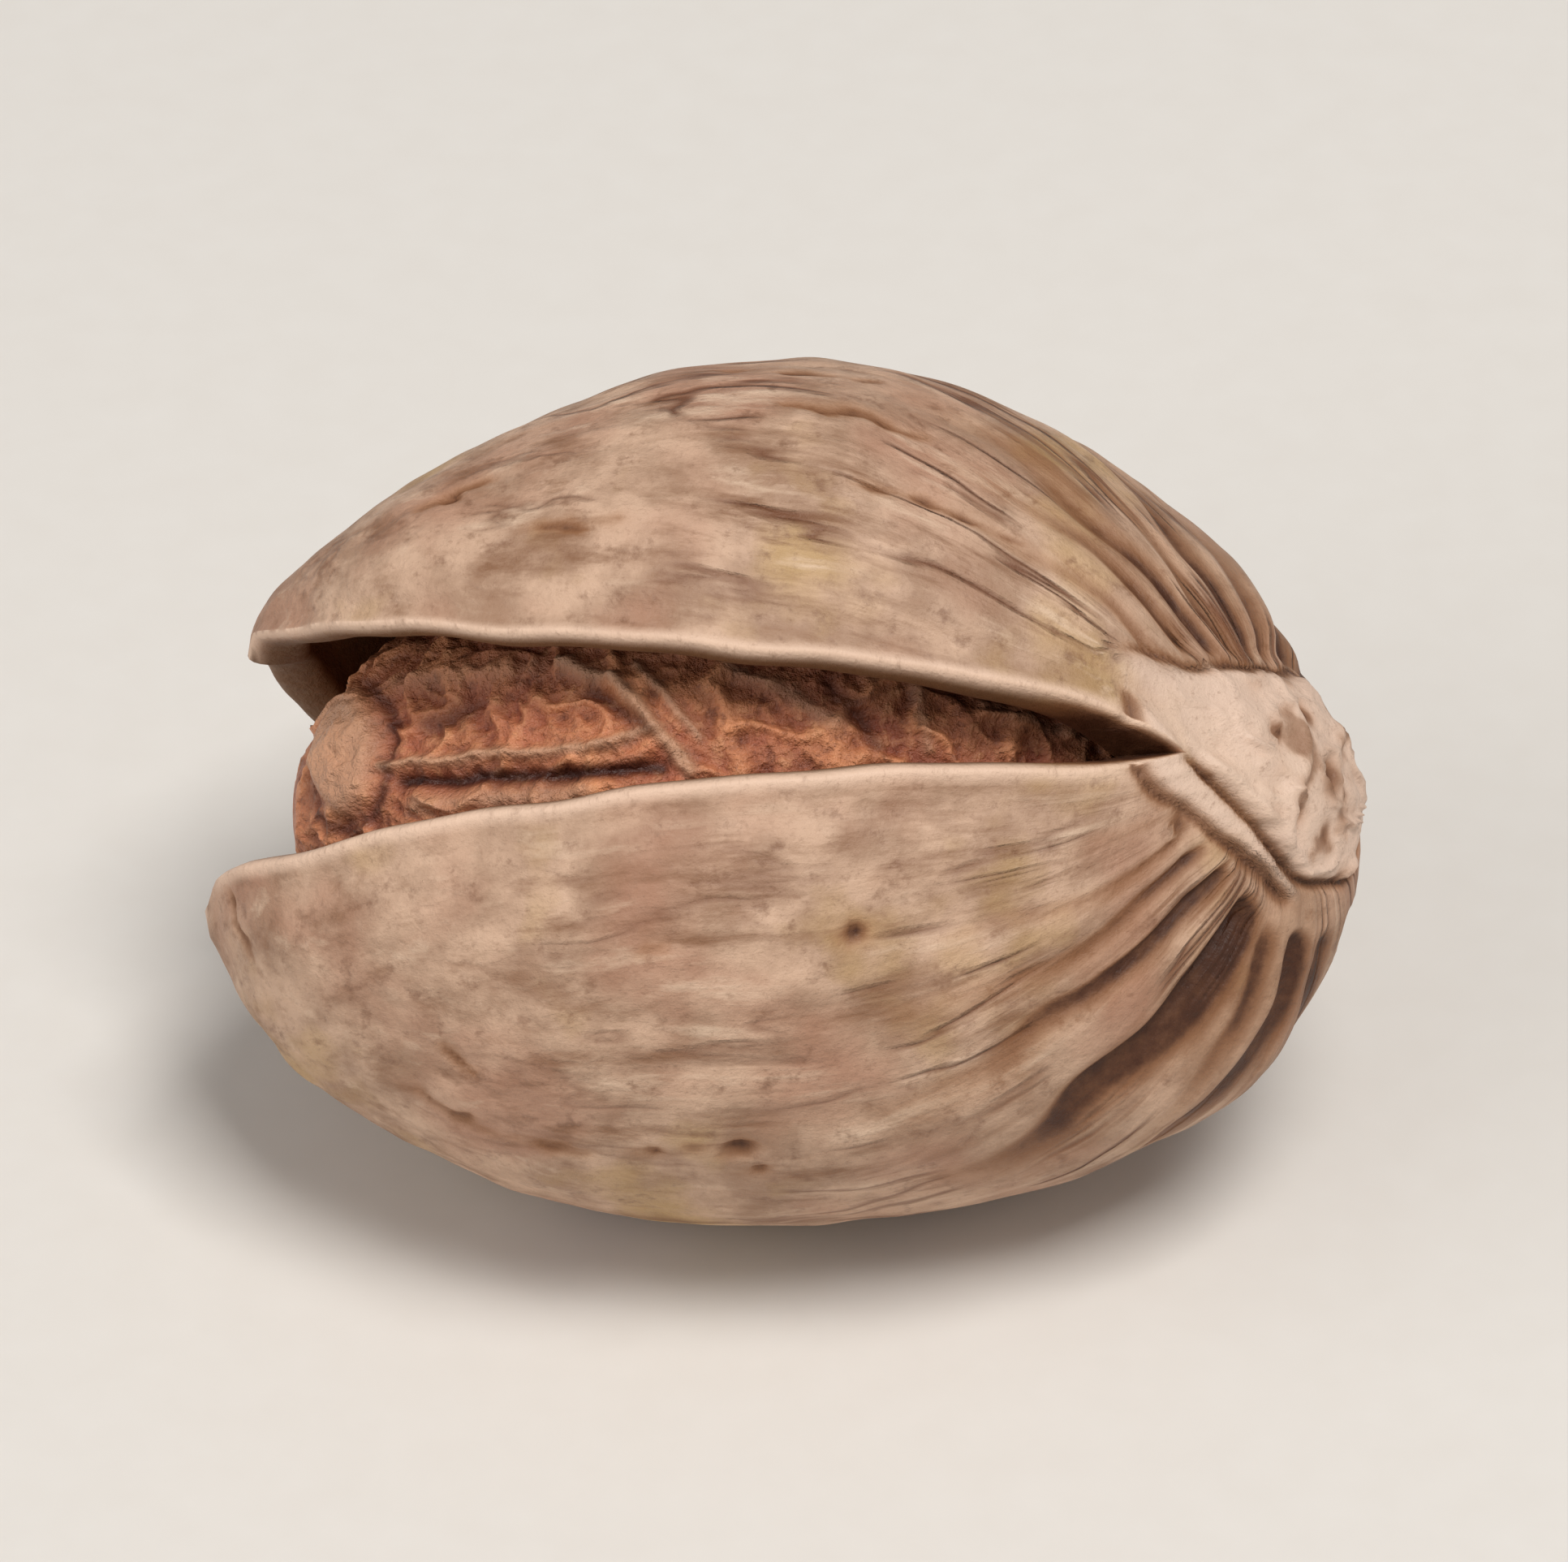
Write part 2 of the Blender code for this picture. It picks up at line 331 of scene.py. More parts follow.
def scar_relief(points, inside, collar_inside):
    """The height of the scar's crumpled cap, its split border and the collar beside it, with its masks."""
    towards_split, sideways, _ = scar_view(points)
    scar = ease(inside / 0.10 + 0.5)

    # The cap stands proud, except where it runs out into the upper valve's lip beside the split.
    merged = ease((towards_split - 0.6) / 0.9) * ease((sideways + 0.1) / 0.4)
    merged = np.maximum(merged, 0.8 * ease((sideways - 0.9) / 0.6))
    apart = np.linalg.norm(points - SCAR_MIDDLE, axis=-1)
    height = (0.08 + 0.20 * hump(apart / 1.7)) * ease(inside / 0.30 + 0.3) * (1 - merged)
    beside_split = ease((towards_split - 0.9) / 0.7) * ease((sideways + 0.1) / 0.4)
    border = hump((inside + 0.05) / 0.10) * (1 - beside_split)

    # The crease along the top of the cap runs on past it, over the upper valve's lip.
    crease = hump((sideways + 0.10 * towards_split - 1.88 + 0.10 * hills(points, 1.0, 2, 24)) / 0.10)
    crease = crease * beside_split * ease((3.1 - towards_split) / 0.9) * ease((inside + 1.6) / 0.4)
    border = np.maximum(border, crease)

    # A ridge down the middle, a thin one along the collar, and folds between them.
    ridge = hump((towards_split + 0.15 + 0.35 * hills(points, 1.2, 2, 18)) / 0.15)
    thin_ridge = hump((collar_inside - 0.26) / 0.09)
    folds = creases(points, 1.1, 0.09, 8)
    crumple = 0.12 * ridge + 0.12 * thin_ridge + 0.12 * folds - 0.08
    crumple = crumple + 0.08 * hills(points, 0.8, 2, 19) + 0.045 * hills(points, 0.3, 2, 20)
    height = height + crumple * scar * (1 - 0.5 * merged)

    dents = np.zeros(inside.shape)
    for split_place, side_place, radius in DENTS:
        from_dent = np.hypot(towards_split - split_place, (sideways - side_place) * 0.7)
        dents = np.maximum(dents, hump(from_dent / radius) * (inside > -1))

    # The collar runs along the lower valve's side of the cap only, as the end of that valve's lip.
    near = ease((inside + 0.95) / 0.3) * (1 - ease((collar_inside + 0.1) / 0.3))
    near = near * ease((towards_split + 0.6) / 0.5)
    width = 0.42 + 0.30 * ease(towards_split / 1.8)
    collar = near * ease((inside + width) / 0.18) * ease(0.5 - (inside + 0.12) / 0.16)
    groove = near * hump((inside + width) / 0.14)
    height = height + 0.11 * collar - 0.11 * groove - 0.12 * border - 0.11 * dents

    # Above the cap the upper valve's shoulder dips before it.
    dip = hump((inside + 0.35) / 0.40) * ease(sideways - 0.6) * ease(0.5 - towards_split / 2)
    height = height - 0.22 * dip
    mottle = ease(hills(points, 0.9, 3, 21) * 2.2) * ease(0.8 - towards_split) * scar
    # Painted dark: the cap's sunk border and the groove outside the collar, partly stain and partly painted
    # shade in them, the dents and a brown mottle.
    stain = np.maximum(np.maximum(0.9 * border, 0.9 * groove), np.maximum(0.85 * dents, 0.50 * mottle))
    run_out = 0.85 * ease((inside + 1.2) / 1.0) * beside_split * ease((1.8 - sideways) / 0.5)
    return height, np.maximum(np.maximum(scar, collar), run_out), stain


# The foot of the lower valve, by the scar, painted a thin brown round the furrows.
BROWN_FOOT = (7.6, -3.6, 2.6)
BROWN_FOOT_RADIUS = 2.6


def outer_relief(points, share, turn, valve):
    """The height of the outer face's ribs, veins, pits and lip, with masks for its colours."""
    angle = rib_angle(points)
    fanned = ease((points[..., 0] + 4) / 9)
    radius = np.linalg.norm(points[..., 1:], axis=-1) * (1 - fanned) + 7.0 * fanned
    flow = np.stack((points[..., 0], radius * np.sin(angle), radius * np.cos(angle)), axis=-1)
    seam_fade = ease(turn / 0.25) * ease((math.pi - turn) / 0.25)
    inside, collar_inside = scar_edge(points)
    scar_height, scar, stain = scar_relief(points, inside, collar_inside)
    body = ease(-inside / 0.12) * ease(share / 0.02) * ease((1 - share) / 0.02)

    height = 0.12 * hills(points, 4.5, 2, 1) + 0.05 * hills(points, 1.6, 2, 2) + scar_height
    furrows = furrow_depth(points, valve, -inside) * seam_fade
    height = height - furrows * body

    # Veins run along the nut in patches, weaker on the lower valve, at the tips and beside the split.
    patches = ease(0.6 + 1.8 * hills(points, 2.2, 2, 10))
    strength = 0.3 + 0.7 * ease((points[..., 0] + 6.5) / 6)
    if valve == LOWER:
        strength = strength * (0.5 + 0.5 * ease(points[..., 0] / 6))
    open_split = ease(half_gape(share, 0 * turn) / 0.5)
    from_split = turn * FRONT_DEPTH * outline(share, SEAM_SWELL)
    strength = strength * (1 - 0.8 * hump(from_split / 1.3) * open_split)
    veined = patches * strength * seam_fade * body
    height = height + 0.05 * hills(flow * (0.22, 1.0, 1.0), 0.85, 2, 6) * body

    pit_depth, pits = marks(points, valve)
    height = height - pit_depth * seam_fade * body

    # The back seam shows as a low keel with a hairline along it, and the split's edges as a rolled lip.
    from_back = (math.pi - turn) * BACK_DEPTH * outline(share, SEAM_SWELL)
    height = height + (0.10 * hump(from_back / 0.7) - 0.05 * hump(from_back / 0.09)) * body
    lip = hump(from_split / 0.28) * open_split
    height = height + (0.08 * lip - 0.05 * hump((from_split - 0.62) / 0.22) * open_split) * body

    # The furrows are painted dark brown, partly stain and partly painted shade in them, and the foot of the
    # lower valve round them more thinly.
    from_foot = np.linalg.norm(points - BROWN_FOOT, axis=-1)
    foot = ease(1.2 - from_foot / BROWN_FOOT_RADIUS) * (valve == LOWER)
    # Painted shade and stain in the furrows, and thinner brown at the foot.
    stained_and_shaded = np.clip(furrows / 0.14 + 0.25 * foot, 0, 1) * body
    stain = np.maximum(np.maximum(stain, stained_and_shaded), pits * seam_fade * body)
    nib = 1 - ease((np.linalg.norm(points + (SHELL_LENGTH / 2, 0, 0), axis=-1) - 0.35) / 0.25)
    rim = np.maximum((1 - ease((from_split - 0.16) / 0.22)) * open_split * body, nib)
    flow = flow * (1 - scar[..., None]) + points * (2.0, 1.0, 1.0) * scar[..., None]
    masks = {"stain": stain, "veined": veined, "rim": rim, "scar": scar, "lining": 0 * stain}
    return height, {**masks, "flow": flow, "place": points}


def opened(points, share, turn, valve):
    """The points after their valve has swung away from the split plane and its tip has been drawn out."""
    wave = 1 + 0.025 * np.sin(31 * share + valve) + 0.015 * np.sin(57 * share)
    moved = points.copy()
    moved[..., 1] += valve * half_gape(share, turn) * wave
    tip = np.array((-SHELL_LENGTH / 2, valve * TIP_GAPE / 2, 0.0))
    if valve == UPPER:
        tip[0] += UPPER_TIP_SHORTER
    near = 1 - ease(np.linalg.norm(moved - tip, axis=-1) / NIB_REACH[valve])
    return moved + near[..., None] * NIB[valve]


def lip_swell(share, turn):
    """How far the rounded edge of a seam stands out from where its two faces stop, none where it is shut."""
    return LIP_SWELL * ease(half_gape(share, turn) / 0.5)


def turns(share, columns, valve):
    """Turns from the split to the back seam in each row, which stop short of open seams by their lips."""
    radius = np.maximum(VALVE_DEPTH[valve] * outline(share, VALVE_SWELL[valve]), 0.6)
    start = lip_swell(share, 0 * share) / radius
    stop = math.pi - lip_swell(share, 0 * share + math.pi) / radius
    steps = np.linspace(0, 1, columns + 1)[None, :] ** 1.2
    return start + (stop - start) * steps


def rim_grid(outer_edge, lining_edge, swell, valve):
    """The rounded edge between a valve's two faces at an open seam."""
    steps = np.linspace(0, math.pi, RIM_COLUMNS)[None, :]
    middle = (outer_edge + lining_edge)[:, None, :] / 2
    half = (outer_edge - lining_edge)[:, None, :] / 2
    grid = middle + half * np.cos(steps)[..., None]
    grid[..., 1] -= valve * swell * np.sin(steps)
    return grid


def laid(points):
    """Points in the nut's own directions, turned to the way the nut lies, in metres."""
    lean, rise = math.sin(SPLIT_ELEVATION), math.cos(SPLIT_ELEVATION)
    along, across, front = points[..., 0], points[..., 1], points[..., 2]
    return MM * np.stack((along, across * lean - front * rise, across * rise + front * lean), axis=-1)


class Sheets:
    """Grids of points gathered into one mesh, with a value of each mask for every point."""

    def __init__(self):
        self.points, self.faces, self.masks, self.count = [], [], {}, 0

    def add(self, grid, masks):
        rows, columns = grid.shape[:2]
        index = self.count + np.arange(rows * columns).reshape(rows, columns)
        quads = np.stack((index[:-1, :-1], index[1:, :-1], index[1:, 1:], index[:-1, 1:]), axis=-1)
        self.faces.append(quads.reshape(-1, 4))
        self.points.append(grid.reshape(-1, 3))
        for name, values in masks.items():
            self.masks.setdefault(name, []).append(values.reshape(rows * columns, -1))
        self.count += rows * columns

    def piece(self, name, place):
        """One smooth-shaded object, with the points that coincide welded and its faces turned outwards."""
        mesh = bpy.data.meshes.new(name)
        points = np.concatenate(self.points) + place
        mesh.from_pydata(points.tolist(), [], np.concatenate(self.faces).tolist())
        for mask, parts in self.masks.items():
            values = np.concatenate(parts)
            kind, field = ("FLOAT_VECTOR", "vector") if values.shape[1] == 3 else ("FLOAT", "value")
            mesh.attributes.new(mask, kind, "POINT").data.foreach_set(field, values.ravel())
        weld = bmesh.new()
        weld.from_mesh(mesh)
        bmesh.ops.remove_doubles(weld, verts=weld.verts, dist=1e-7)
        bmesh.ops.recalc_face_normals(weld, faces=weld.faces)
        weld.to_mesh(mesh)
        weld.free()
        mesh.shade_smooth()
        made = bpy.data.objects.new(name, mesh)
        bpy.context.scene.collection.objects.link(made)
        return made


def plain_masks(points, flow, **values):
    """The shell's colour masks over a grid: the values given, and nothing of the others."""
    nothing = np.zeros(points.shape[:-1])
    masks = {name: nothing + values.get(name, 0.0) for name in ("stain", "veined", "rim", "scar", "lining")}
    return {**masks, "flow": flow, "place": points}


def build_shell(place, floor):
    sheets = Sheets()
    share = row_shares(SHELL_ROWS)
    for valve in (UPPER, LOWER):
        turn = turns(share, VALVE_COLUMNS, valve)
        closed = closed_face(share, turn, valve)
        height, masks = outer_relief(closed, share, turn, valve)
        outer = opened(closed + outward(closed) * height[..., None], share, turn, valve)
        sheets.add(laid(outer), masks)

        turn = turns(share, LINING_COLUMNS, valve)
        inner = closed_face(share, turn, valve, inner=True)
        ribs = 0.04 * hills(inner * (0.2, 1, 1), 1.4, 2, 9)
        ribs = ribs * ease(turn / 0.2) * ease((math.pi - turn) / 0.2)
        lining = opened(inner - outward(inner) * ribs[..., None], share, turn, valve)
        # The inside takes the lining's dark colour, which is partly painted shade over its own tan.
        sheets.add(laid(lining), plain_masks(inner, inner, lining=1.0))

        for column, seam, start, pale in ((0, 0.0, SPLIT_START, 1.0), (-1, math.pi, BACK_SPLIT_START, 0.0)):
            rows = slice(int(np.sum(share <= start)) - 1, None)
            swell = lip_swell(share, 0 * share + seam)[rows]
            rim = rim_grid(outer[rows, column], lining[rows, column], swell, valve)
            grown = rim_grid(closed[rows, column], inner[rows, column], 0 * swell, valve)
            flow = rim_grid(masks["flow"][rows, column], inner[rows, column], 0 * swell, valve)
            # The rim is rubbed pale on its outer half. Inwards it takes the lining's dark colour, partly
            # painted shade, and the split's corner is painted darker still, as painted shade.
            inwards = np.linspace(0, 1, RIM_COLUMNS)[None, :]
            rubbed = pale * (1 - ease((inwards - 0.14) / 0.30))
            corner = ease(1.6 - (share[rows] - SPLIT_START) / 0.09) * ease((inwards - 0.08) / 0.25)
            sheets.add(laid(rim), plain_masks(grown, flow, rim=rubbed, lining=1 - rubbed, stain=corner))
    for points in sheets.points:
        points[:, 2] = np.maximum(points[:, 2] + place[2], floor) - place[2]
    return sheets.piece("pistachio_shell", place)


# ---- Shape of the kernel ----


def kernel_face(share, turn):
    """The kernel's plain egg shape, before its skin shrank, as a grid of points."""
    width = outline(share, KERNEL_SWELL)
    depth = np.where(np.cos(turn) > 0, KERNEL_FRONT_DEPTH, KERNEL_BACK_DEPTH)
    across_bend, front_bend = bend(share)
    along = (0.5 - share) * KERNEL_LENGTH + 0 * turn
    across = KERNEL_HALF_THICKNESS * width * np.sin(turn) + across_bend
    front = depth * width * np.cos(turn) + front_bend
    return np.stack((along, across, front), axis=-1) + KERNEL_MIDDLE


def from_line(points, start, end):
    """How far each point is from a line across the kernel's front, as it is seen from the front."""
    start, end = np.array(start), np.array(end)
    flat = points[..., :2] - start
    run = end - start
    part = np.clip((flat @ run) / (run @ run), 0, 1)
    return np.linalg.norm(flat - part[..., None] * run, axis=-1)


# Folds of the skin across the kernel's front: their two ends along and across, height (below 0 for a
# groove) and width. Raised ones are painted pale, partly as painted highlight, and sunk ones dark, as
# painted shade.
FOLDS = (
    ((-6.9, -0.30), (-3.0, -0.25), 0.17, 0.10),
    ((-3.0, -0.25), (-2.1, 0.05), 0.15, 0.12),
    ((-6.6, -0.62), (-2.1, -0.68), -0.18, 0.13),
    ((-6.3, -1.05), (-3.4, -1.00), 0.12, 0.20),
    ((-3.8, 1.25), (-2.9, 0.85), 0.16, 0.13),
    ((-2.9, 0.85), (-1.6, -0.65), 0.22, 0.13),
    ((-2.5, 1.15), (-1.5, -0.05), 0.14, 0.09),
    ((-3.3, 0.75), (-2.3, -0.05), -0.10, 0.12),
    ((-6.7, 1.20), (-4.2, 1.30), 0.06, 0.18),
    ((-6.2, 0.35), (-5.4, 0.70), -0.10, 0.20),
    ((-0.9, 1.1), (0.9, 0.2), 0.10, 0.16),
    ((0.8, 0.9), (1.6, -0.2), -0.10, 0.14),
    ((2.2, 0.8), (2.5, -0.3), 0.09, 0.10),
    ((3.4, 0.5), (5.2, 0.0), 0.08, 0.14),
)


# The blunt root end of the seed, an upright pale knob by the shell's tips: its middle and half its size
# along and across, and the dimple in it.
KNOB, KNOB_SIZE = (-7.55, 0.05), (0.55, 1.0)
DIMPLE, DIMPLE_RADIUS = (-7.45, -0.1), 0.16

# The fine pleats across the left part of the opening.
PLEATED, PLEATED_SIZE = (-4.7, 0.45), (0.8, 0.45)
PLEAT_SPACING = 0.30


def kernel_relief(points, share):
    """The height of the kernel's shrunken skin, with masks for its colours."""
    drift = points + 0.30 * hills(points, 1.4, 2, 11)[..., None]
    lumps = hills(drift * (0.8, 1, 1), 1.5, 2, 12)
    ridges = creases(drift * (0.9, 1, 1), 1.15, 0.16, 13)
    wrinkles = creases(drift, 0.50, 0.20, 22)
    height = 0.14 * hills(points, 3.5, 2, 14) + 0.13 * lumps + 0.14 * ridges + 0.06 * wrinkles - 0.12

    pleated = hump((points[..., 0] - PLEATED[0]) / PLEATED_SIZE[0])
    pleated = pleated * hump((points[..., 1] - PLEATED[1]) / PLEATED_SIZE[1])
    pleat_place = (points[..., 0] + 0.3 * hills(points, 0.8, 2, 23)) / PLEAT_SPACING
    pleats = np.sin(2 * np.pi * pleat_place) * pleated
    height = height + 0.045 * pleats

    front_side = ease((points[..., 2] - 0.5) / 1.5)
    bend_across = np.stack((0.10 * hills(points, 1.1, 2, 15), 0.10 * hills(points, 1.0, 2, 16)), axis=-1)
    wandered = points[..., :2] + bend_across
    pale, dark = np.zeros(height.shape), np.zeros(height.shape)
    for start, end, tall, wide in FOLDS:
        fold = hump(from_line(wandered, start, end) / wide) * front_side
        height = height + tall * fold
        # Raised folds are painted pale, partly as painted highlight, and sunk ones dark, as painted shade.
        strength = abs(tall) / 0.17
        if tall > 0:
            pale = np.maximum(pale, fold * strength)
        else:
            dark = np.maximum(dark, fold * strength)

    # The knob stands up smooth, with a dark rim of painted shade round its foot.
    knob_away = np.linalg.norm((wandered - KNOB) / KNOB_SIZE, axis=-1)
    knob = ease((1.35 - knob_away) / 0.6) * ease((points[..., 2] + 1.5) / 1.5)
    dimple = hump(np.linalg.norm(wandered - DIMPLE, axis=-1) / DIMPLE_RADIUS)
    height = height * (1 - 0.6 * knob) + 0.24 * knob * (1 - 0.45 * dimple)
    pale = np.maximum(pale * (1 - knob), 0.95 * knob)
    dark = np.maximum(dark, 0.7 * hump((knob_away - 1.4) / 0.16) * front_side)
    height = height * ease(share / 0.02) * ease((1 - share) / 0.02)
    # Crests are painted orange-tan, partly as painted highlight, and kept off the dark places.
    crest = 0.22 + 0.35 * lumps + 0.55 * ridges + 0.30 * wrinkles + 0.30 * pleats
    crest = np.clip(crest, 0, 1) * (1 - dark)
    masks = {"crest": crest, "pale": np.clip(pale, 0, 1), "dark": np.clip(dark, 0, 1), "place": points}
    return height, masks


def build_kernel(place):
    share = row_shares(KERNEL_ROWS)
    around = np.linspace(-1, 1, KERNEL_COLUMNS + 1)[None, :]
    # Columns are closer together at the front, which is seen through the split.
    turn = math.pi * (0.45 * around + 0.55 * around**3)
    points = kernel_face(share, turn)
    height, masks = kernel_relief(points, share)
    sheets = Sheets()
    sheets.add(laid(points + outward(points - KERNEL_MIDDLE) * height[..., None]), masks)
    return sheets.piece("pistachio_kernel", place)


# ---- Finishes ----


def colour(code):
    """An sRGB hex colour as the linear values that shaders take."""
    parts = [int(code[start : start + 2], 16) / 255 for start in (1, 3, 5)]
    return [part / 12.92 if part <= 0.04045 else ((part + 0.055) / 1.055) ** 2.4 for part in parts] + [1.0]


# A mix node's colours, which go by number, as its inputs share their names with those for plain values.
UNDER, OVER = 6, 7
MIXED_COLOUR = 2


def node(tree, kind, inputs=None, output=0, **settings):
    """Add a node and give back one output. Inputs are values, or sockets to link from, by name or number."""
    made = tree.nodes.new(kind)
    for name, value in settings.items():
        setattr(made, name, value)
    for socket, value in (inputs or {}).items():
        if isinstance(value, bpy.types.NodeSocket):
            tree.links.new(value, made.inputs[socket])
        else:
            made.inputs[socket].default_value = value
    return made.outputs[output]


def new_material(name):
    """A material with its node tree and its shader."""
    material = bpy.data.materials.new(name)
    material.use_nodes = True
    return material, material.node_tree, material.node_tree.nodes["Principled BSDF"]


def laid_over(tree, base, layers):
    """A base colour with others laid over it in turn, as an output. Each layer is its colour, the output
    that says where it goes, that output's values where it starts and where it is full, and its strength
    where it is full."""
    for code, where, start, full, strength in layers:
        span = {"Value": where, "From Min": start, "From Max": full, "To Max": strength}
        amount = node(tree, "ShaderNodeMapRange", span)
        mixed = {"Factor": amount, UNDER: base, OVER: colour(code)}
        base = node(tree, "ShaderNodeMix", mixed, output=MIXED_COLOUR, data_type="RGBA")
    return base


def bumped(tree, layers):
    """The surface's direction over bumps, each a height pattern with its height in mm and strength."""
    normal = None
    for pattern, height, strength in layers:
        inputs = {"Height": pattern, "Strength": strength, "Distance": height * MM}
        if normal:
            inputs["Normal"] = normal
        normal = node(tree, "ShaderNodeBump", inputs)
    return normal


def shell_finish():
    """The nut's woody shell, washed and dry-roasted: hard, dull and beige, with a pink-brown cast."""
    material, tree, shader = new_material("roasted_nutshell")
    stain, veined, rim, scar, lining = [
        node(tree, "ShaderNodeAttribute", output="Fac", attribute_name=mask)
        for mask in ("stain", "veined", "rim", "scar", "lining")
    ]
    flow, place = [
        node(tree, "ShaderNodeAttribute", output="Vector", attribute_name=grid) for grid in ("flow", "place")
    ]

    # Patterns, by how many of their features there are in a millimetre. Fibres are drawn out five times
    # along the nut, as the wood grew.
    fibre_way = node(tree, "ShaderNodeMapping", {0: flow, "Scale": (0.2, 1.0, 1.0)})
    fibres, blotches, clouds, mottle, grain = [
        node(
            tree,
            "ShaderNodeTexNoise",
            {"Vector": way, "Scale": per_mm, "Detail": detail, "Roughness": rough},
        )
        for way, per_mm, detail, rough in (
            (fibre_way, 1.6, 5.0, 0.60),
            (place, 0.30, 3.0, 0.50),
            (place, 0.75, 5.0, 0.60),
            (place, 2.0, 5.0, 0.65),
            (place, 7.0, 4.0, 0.70),
        )
    ]
    patchy = node(
        tree,
        "ShaderNodeMapRange",
        {"Value": mottle, "From Min": 0.25, "From Max": 0.65, "To Min": 1.0, "To Max": 0.75},
    )
    # Where stain and painted shade go, made patchy.
    stained_and_shaded = node(tree, "ShaderNodeMath", {0: stain, 1: patchy}, operation="MULTIPLY")

    # The fibres are plainest where there are veins, and fade where the shell grew smooth.
    plain = node(
        tree,
        "ShaderNodeMapRange",
        {"Value": veined, "From Min": 0.0, "From Max": 0.8, "To Min": 0.55, "To Max": 1.0},
    )
    fibres = node(tree, "ShaderNodeMix", {"Factor": plain, "A": 0.5, "B": fibres})

    # Veins: thin brown lines along the nut, where a slow pattern passes through its middle value, 0.5.
    vein_way = node(tree, "ShaderNodeMapping", {0: flow, "Scale": (0.19, 1.0, 1.0)})
    wander = node(
        tree,
        "ShaderNodeTexNoise",
        {"Vector": vein_way, "Scale": 0.72, "Detail": 3.0, "Roughness": 0.5},
    )
    off_line = node(tree, "ShaderNodeMath", {0: wander, 1: 0.5}, operation="SUBTRACT")
    off_line = node(tree, "ShaderNodeMath", {0: off_line}, operation="ABSOLUTE")
    line = node(tree, "ShaderNodeMapRange", {"Value": off_line, "From Min": 0.040, "From Max": 0.0})
    vein = node(tree, "ShaderNodeMath", {0: line, 1: veined}, operation="MULTIPLY")
    painted = laid_over(
        tree,
        colour("#ac8b73"),
        (
            ("#d2b096", clouds, 0.42, 0.62, 0.85),
            ("#99745a", clouds, 0.44, 0.30, 0.60),
            ("#ad7c64", blotches, 0.50, 0.66, 0.55),
            ("#b29053", blotches, 0.45, 0.33, 0.60),
            ("#7f573a", fibres, 0.48, 0.36, 0.80),
            ("#e2c6ac", fibres, 0.55, 0.68, 0.70),
            ("#775037", mottle, 0.43, 0.30, 0.60),
            ("#6a3d22", vein, 0.0, 0.8, 0.85),
            ("#e8c8b0", rim, 0.0, 1.0, 0.82),
            ("#e2c6b2", scar, 0.0, 1.0, 0.88),
            # The lining's colour is dark partly as painted shade on the shell's inside and the rim's inner
            # part.
            ("#775436", lining, 0.0, 1.0, 1.0),
            ("#93705a", grain, 0.56, 0.72, 0.45),
            # Stain and painted shade: the furrows, pits, the scar's border, groove and dents, and the
            # split's corner.
            ("#a06f48", stained_and_shaded, 0.0, 0.5, 0.75),
            ("#5a3016", stained_and_shaded, 0.2, 0.9, 1.0),
            ("#2c150a", stained_and_shaded, 0.6, 1.0, 0.70),
        ),
    )
    roughness = node(
        tree,
        "ShaderNodeMapRange",
        {"Value": mottle, "From Min": 0.3, "From Max": 0.7, "To Min": 0.50, "To Max": 0.68},
    )
    tree.links.new(painted, shader.inputs["Base Color"])
    tree.links.new(roughness, shader.inputs["Roughness"])
    sunk = node(tree, "ShaderNodeMath", {0: vein, 1: -1.0}, operation="MULTIPLY")
    relief = bumped(tree, ((sunk, 0.08, 0.8), (fibres, 0.16, 0.6), (mottle, 0.12, 0.5), (grain, 0.05, 0.6)))
    tree.links.new(relief, shader.inputs["Normal"])
    shader.inputs["IOR"].default_value = 1.5
    shader.inputs["Specular IOR Level"].default_value = 0.4
    return material


def kernel_finish():
    """The kernel's dried seed coat: a thin papery skin, red-brown, painted orange-tan on its crests, partly
    as painted highlight.
    """
    material, tree, shader = new_material("dried_seed_coat")
    crest, pale, dark = [
        node(tree, "ShaderNodeAttribute", output="Fac", attribute_name=mask)
        for mask in ("crest", "pale", "dark")
    ]
    place = node(tree, "ShaderNodeAttribute", output="Vector", attribute_name="place")

    # Patterns, by how many of their features there are in a millimetre.
    clouds, skin, specks = [
        node(
            tree,
            "ShaderNodeTexNoise",
            {"Vector": place, "Scale": per_mm, "Detail": detail, "Roughness": rough},
        )
        for per_mm, detail, rough in ((0.8, 4.0, 0.5), (2.6, 5.0, 0.6), (6.0, 4.0, 0.65))
    ]
    # The crest layer is partly painted highlight, and the dark layer painted shade.
    painted = laid_over(
        tree,
        colour("#7f3b25"),
        (
            ("#e3986a", crest, 0.0, 1.0, 1.0),
            ("#b9694e", clouds, 0.45, 0.65, 0.50),
            ("#eeac7c", skin, 0.54, 0.70, 0.50),
            ("#5c2615", skin, 0.46, 0.32, 0.70),
            ("#5e2b1c", specks, 0.58, 0.74, 0.50),
            ("#c99a7a", pale, 0.0, 1.0, 0.88),
            ("#33130a", dark, 0.0, 1.0, 0.90),
        ),
    )
    tree.links.new(painted, shader.inputs["Base Color"])
    tree.links.new(bumped(tree, ((skin, 0.30, 0.8), (specks, 0.10, 0.7))), shader.inputs["Normal"])
    shader.inputs["Roughness"].default_value = 0.45
    shader.inputs["IOR"].default_value = 1.48
    return material


